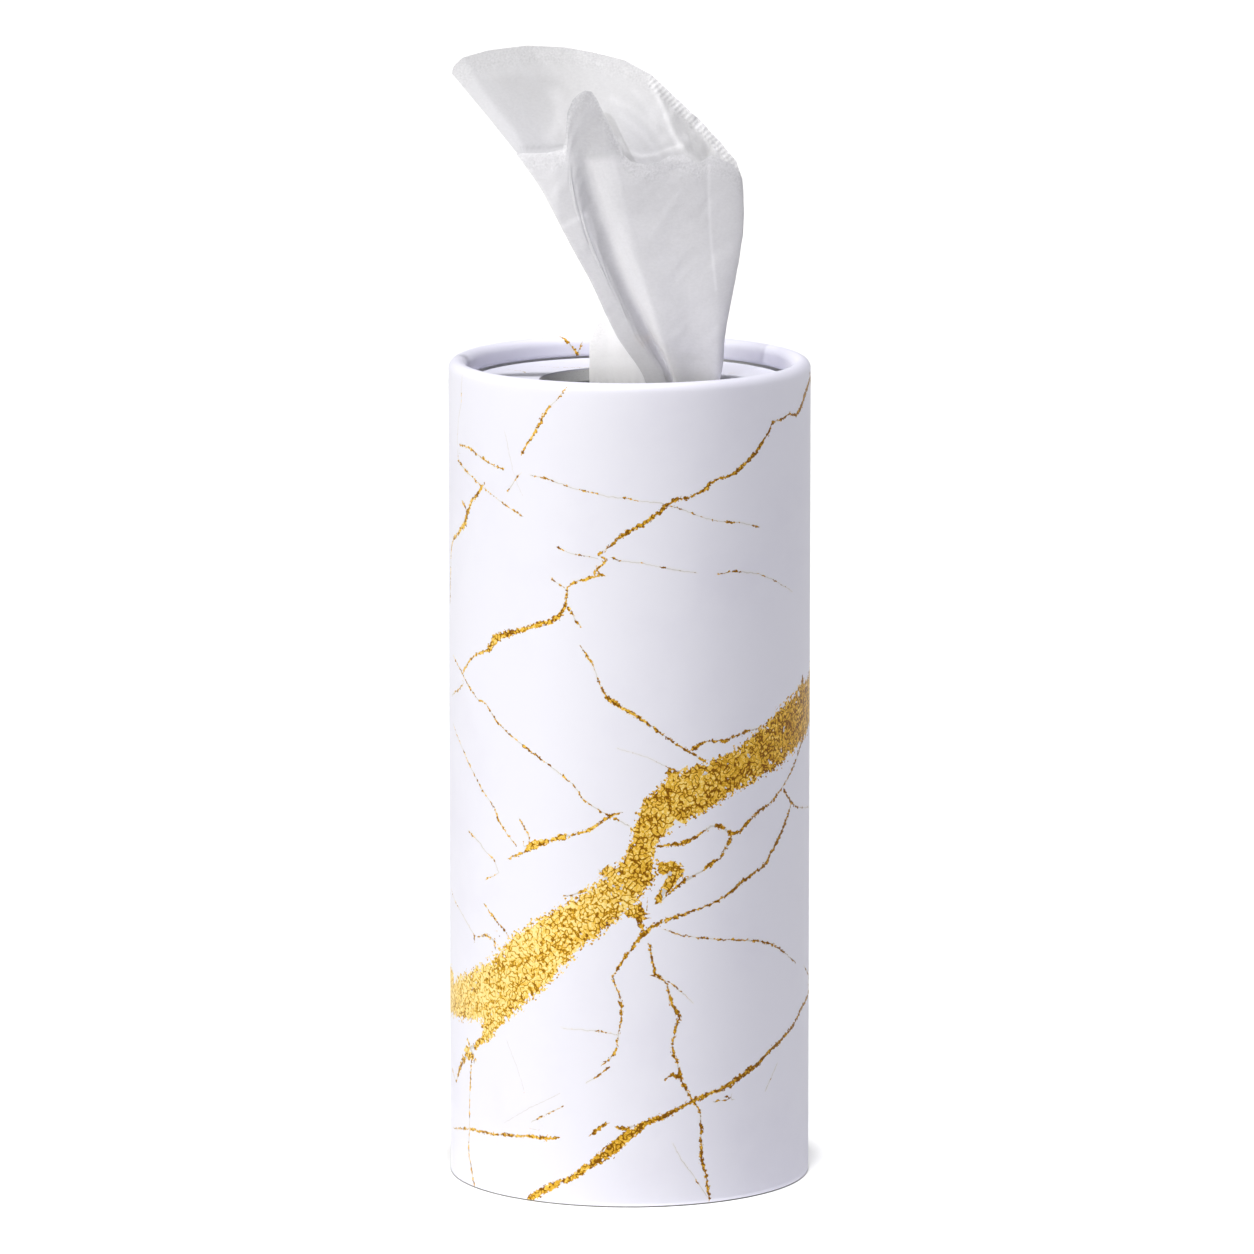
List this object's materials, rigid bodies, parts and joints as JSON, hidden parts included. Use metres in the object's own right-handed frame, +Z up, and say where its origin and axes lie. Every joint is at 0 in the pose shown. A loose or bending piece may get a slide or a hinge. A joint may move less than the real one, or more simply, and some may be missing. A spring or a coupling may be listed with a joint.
{
  "type": "cup-holder tissue canister",
  "caption": "Round paperboard canister with a turned-in rim and a recessed lift-out lid; folded tissues are pulled one after another through the lid's round opening.",
  "frame": {"origin": "centre of the foot, on the surface the canister stands on", "axes": "+Z up along the tube's axis; -Y towards the viewer of the picture, +X to the viewer's right"},
  "size_m": [0.07, 0.07, 0.2214],
  "materials": {
    "printed_paper": "satin white marble print with gold veins",
    "greyboard": "matt grey board, cut edges",
    "white_board": "matt white-lined board",
    "white_paper": "matt white paper",
    "tissue": "soft, thin, translucent"
  },
  "bodies": {
    "tube": {"tube_wall": "greyboard", "printed_wrap": "printed_paper", "inner_liner": "white_paper", "neck_ring": "white_board", "base_lining": "white_paper", "base_board": "greyboard", "base_collar": "white_board", "tissue_roll": "tissue"},
    "lid": {"lid_board": "greyboard", "lid_wrap": "printed_paper", "lid_lining": "white_paper", "plug_ring": "white_board"},
    "tissue": {"popped_tissue": "tissue"},
    "following tissue": {"next_tissue": "tissue"}
  },
  "joints": [
    {"name": "lid_lift", "type": "slide", "parent": "tube", "child": "lid", "axis": [0, 0, 1], "range_m": [0, 0.05]},
    {"name": "tissue_pull", "type": "slide", "parent": "lid", "child": "tissue", "axis": [0, 0, 1], "range_m": [0, 0.08]},
    {"name": "next_rise", "type": "slide", "parent": "lid", "child": "following tissue", "axis": [0, 0, 1], "range_m": [0, 0.04]}
  ],
  "couplings": [
    {"joint": "next_rise", "follows": "tissue_pull", "ratio": 0.5}
  ]
}
